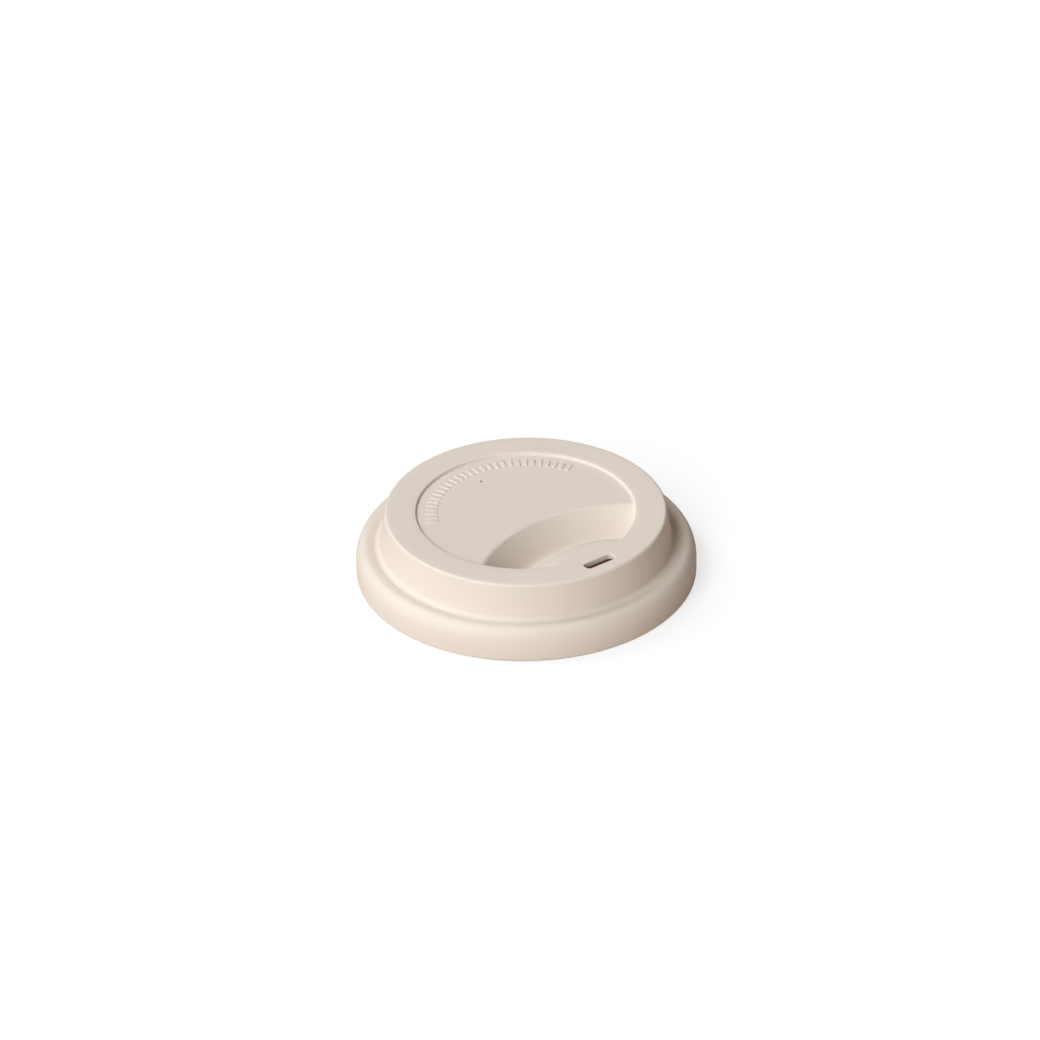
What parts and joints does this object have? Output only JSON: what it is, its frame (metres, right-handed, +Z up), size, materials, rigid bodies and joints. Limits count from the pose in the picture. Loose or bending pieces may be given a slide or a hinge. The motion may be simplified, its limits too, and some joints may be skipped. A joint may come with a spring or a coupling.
{
  "type": "coffee cup lid",
  "caption": "Soft moulded sip lid with a gripping band, a flat top ring, a sunk panel, a lip hollow, a mouthpiece slot and a vent hole.",
  "frame": {"origin": "on the axis of the cup, level with the foot of the gripping band", "axes": "+Z up along the axis of the cup, -Y from the axis towards the sip slot, +X across the mouthpiece"},
  "size_m": [0.095, 0.095, 0.0195],
  "materials": {
    "silicone": "matt soft-touch silicone, warm beige, very fine moulded grain"
  },
  "bodies": {
    "root": {"lid": "silicone"}
  },
  "joints": []
}
